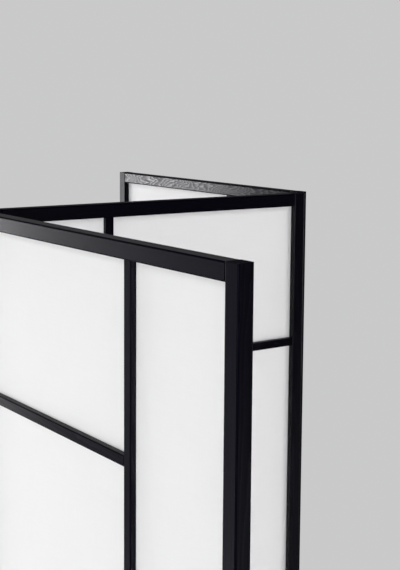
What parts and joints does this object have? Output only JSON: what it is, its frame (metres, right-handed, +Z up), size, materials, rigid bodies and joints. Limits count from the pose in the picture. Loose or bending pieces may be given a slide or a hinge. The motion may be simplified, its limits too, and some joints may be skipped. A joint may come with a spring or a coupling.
{
  "type": "folding screen",
  "caption": "Folding room divider: hinged panels of black-stained square-stock wood with a staggered lattice on both faces of a stretched white cloth.",
  "frame": {"origin": "on the floor under the centre of the standing screen's outline", "axes": "+Z up; the middle panel stands along X with its front facing -Y; the left panel folds forwards, towards -Y, and the right panel backwards, towards +Y"},
  "size_m": [0.7806, 1.4722, 1.85],
  "materials": {
    "black_stained_wood": "black stain under clear semi-gloss lacquer, softwood grain telegraphing through",
    "white_cloth": "plain-woven translucent white cloth, matt",
    "hinge_steel": "black-coated steel, semi-gloss"
  },
  "bodies": {
    "middle_panel": {"middle_panel_left_stile": "black_stained_wood", "middle_panel_right_stile": "black_stained_wood", "middle_panel_top_rail": "black_stained_wood", "middle_panel_bottom_rail": "black_stained_wood", "middle_panel_cloth": "white_cloth", "middle_panel_back_mullion": "black_stained_wood", "middle_panel_back_wide_lower_bar": "black_stained_wood", "middle_panel_back_wide_middle_bar": "black_stained_wood", "middle_panel_back_wide_upper_bar": "black_stained_wood", "middle_panel_back_narrow_lower_bar": "black_stained_wood", "middle_panel_back_narrow_upper_bar": "black_stained_wood", "middle_panel_front_mullion": "black_stained_wood", "middle_panel_front_wide_lower_bar": "black_stained_wood", "middle_panel_front_wide_middle_bar": "black_stained_wood", "middle_panel_front_wide_upper_bar": "black_stained_wood", "middle_panel_front_narrow_lower_bar": "black_stained_wood", "middle_panel_front_narrow_upper_bar": "black_stained_wood", "left_fold_lower_hinge_pin_leaf": "hinge_steel", "left_fold_upper_hinge_pin_leaf": "hinge_steel", "right_fold_lower_hinge_pin_leaf": "hinge_steel", "right_fold_upper_hinge_pin_leaf": "hinge_steel"},
    "left_panel": {"left_panel_left_stile": "black_stained_wood", "left_panel_right_stile": "black_stained_wood", "left_panel_top_rail": "black_stained_wood", "left_panel_bottom_rail": "black_stained_wood", "left_panel_cloth": "white_cloth", "left_panel_back_mullion": "black_stained_wood", "left_panel_back_wide_lower_bar": "black_stained_wood", "left_panel_back_wide_middle_bar": "black_stained_wood", "left_panel_back_wide_upper_bar": "black_stained_wood", "left_panel_back_narrow_lower_bar": "black_stained_wood", "left_panel_back_narrow_upper_bar": "black_stained_wood", "left_panel_front_mullion": "black_stained_wood", "left_panel_front_wide_lower_bar": "black_stained_wood", "left_panel_front_wide_middle_bar": "black_stained_wood", "left_panel_front_wide_upper_bar": "black_stained_wood", "left_panel_front_narrow_lower_bar": "black_stained_wood", "left_panel_front_narrow_upper_bar": "black_stained_wood", "left_fold_lower_hinge_outer_leaf": "hinge_steel", "left_fold_upper_hinge_outer_leaf": "hinge_steel"},
    "right_panel": {"right_panel_left_stile": "black_stained_wood", "right_panel_right_stile": "black_stained_wood", "right_panel_top_rail": "black_stained_wood", "right_panel_bottom_rail": "black_stained_wood", "right_panel_cloth": "white_cloth", "right_panel_back_mullion": "black_stained_wood", "right_panel_back_wide_lower_bar": "black_stained_wood", "right_panel_back_wide_middle_bar": "black_stained_wood", "right_panel_back_wide_upper_bar": "black_stained_wood", "right_panel_back_narrow_lower_bar": "black_stained_wood", "right_panel_back_narrow_upper_bar": "black_stained_wood", "right_panel_front_mullion": "black_stained_wood", "right_panel_front_wide_lower_bar": "black_stained_wood", "right_panel_front_wide_middle_bar": "black_stained_wood", "right_panel_front_wide_upper_bar": "black_stained_wood", "right_panel_front_narrow_lower_bar": "black_stained_wood", "right_panel_front_narrow_upper_bar": "black_stained_wood", "right_fold_lower_hinge_outer_leaf": "hinge_steel", "right_fold_upper_hinge_outer_leaf": "hinge_steel"}
  },
  "joints": [
    {"name": "left_fold", "type": "hinge", "parent": "middle_panel", "child": "left_panel", "pos_m": [-0.36108, -0.0169, 0.925], "axis": [0, 0, 1], "range_deg": [-96.8, 83.2]},
    {"name": "right_fold", "type": "hinge", "parent": "middle_panel", "child": "right_panel", "pos_m": [0.36092, 0.0157, 0.925], "axis": [0, 0, 1], "range_deg": [-95.4, 84.6]}
  ]
}
